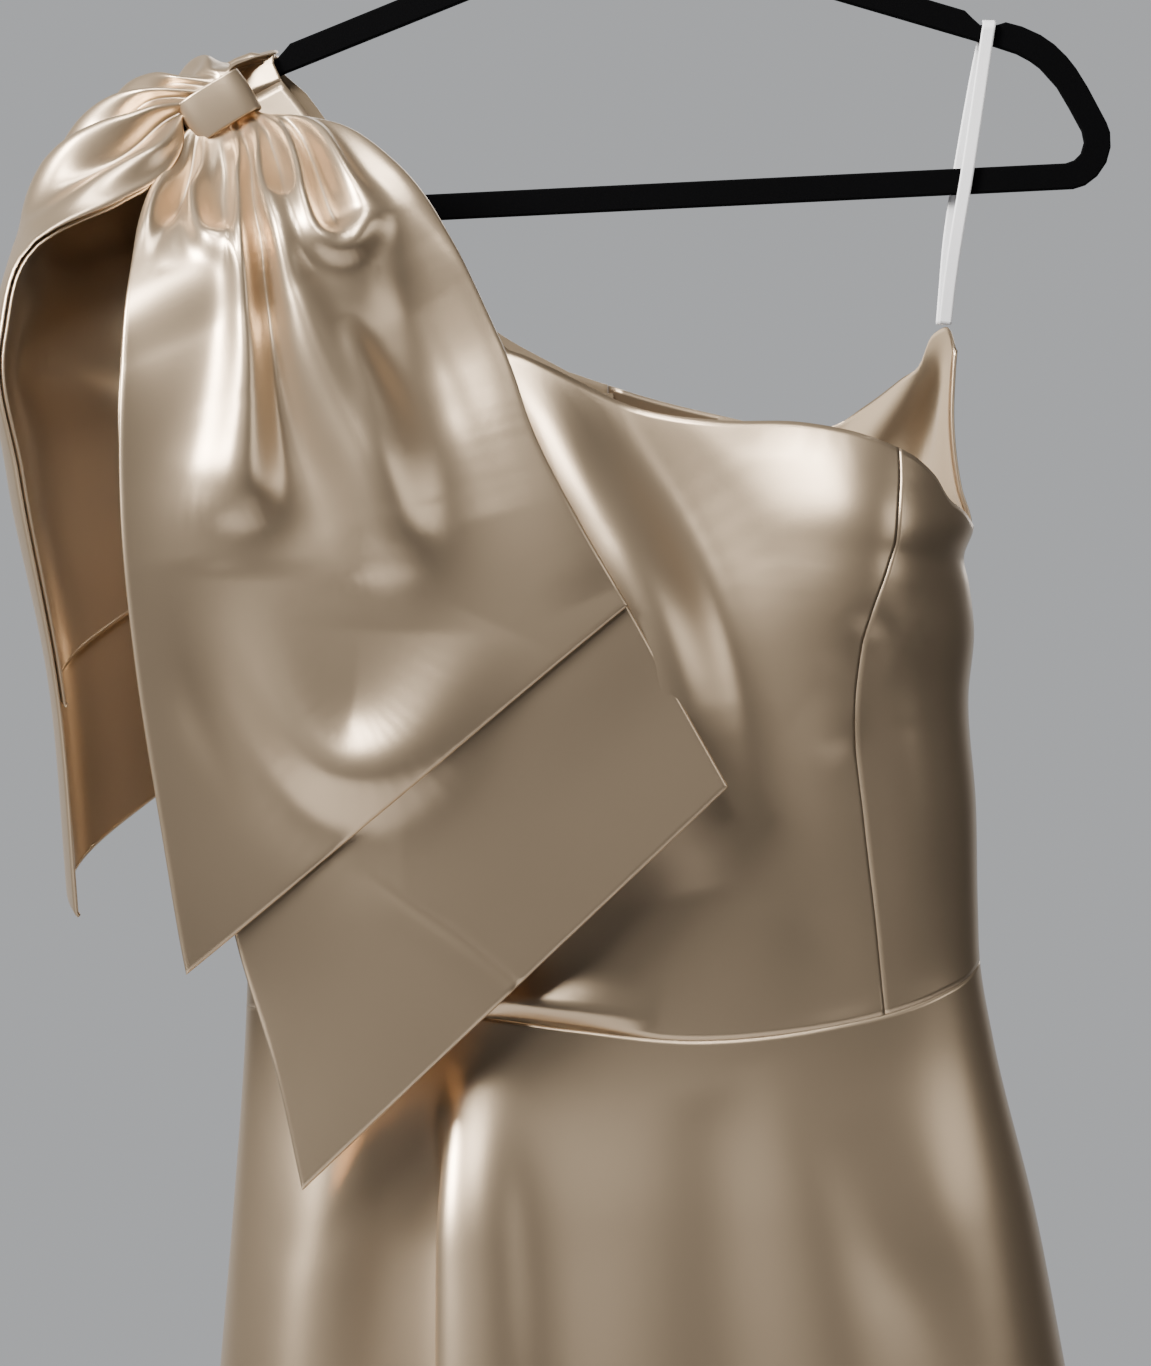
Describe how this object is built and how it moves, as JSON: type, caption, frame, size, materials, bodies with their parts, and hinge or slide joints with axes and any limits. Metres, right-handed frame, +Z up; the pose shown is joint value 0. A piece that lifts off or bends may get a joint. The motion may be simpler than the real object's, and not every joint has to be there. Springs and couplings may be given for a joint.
{
  "type": "one-shoulder dress on a hanger",
  "caption": "Champagne satin one-shoulder dress with a large draped shoulder bow, hanging on a slim black flocked hanger.",
  "frame": {"origin": "inner top of the hanger's hook, where a rail carries it", "axes": "+X right as seen from the front, +Y away from the viewer to the back of the dress, +Z up"},
  "size_m": [0.5898, 0.2267, 1.3397],
  "materials": {
    "satin": "heavy champagne satin, soft sheen",
    "bow_satin": "doubled champagne satin, soft sheen",
    "lining": "matte nude lining",
    "ribbon": "white satin ribbon",
    "hanger_flock": "black flock",
    "hook_metal": "bright wire"
  },
  "bodies": {
    "root": {"front_centre": "satin", "front_side_left": "satin", "front_side_right": "satin", "back_left": "satin", "back_right": "satin", "back_lining": "lining", "back_zip": "lining", "skirt_front": "satin", "skirt_back_left": "satin", "skirt_back_right": "satin", "bow_upper": "bow_satin", "bow_lower": "bow_satin", "bow_knot": "bow_satin", "ribbon_loop": "ribbon", "hanger_frame": "hanger_flock", "hanger_hook": "hook_metal"}
  },
  "joints": []
}
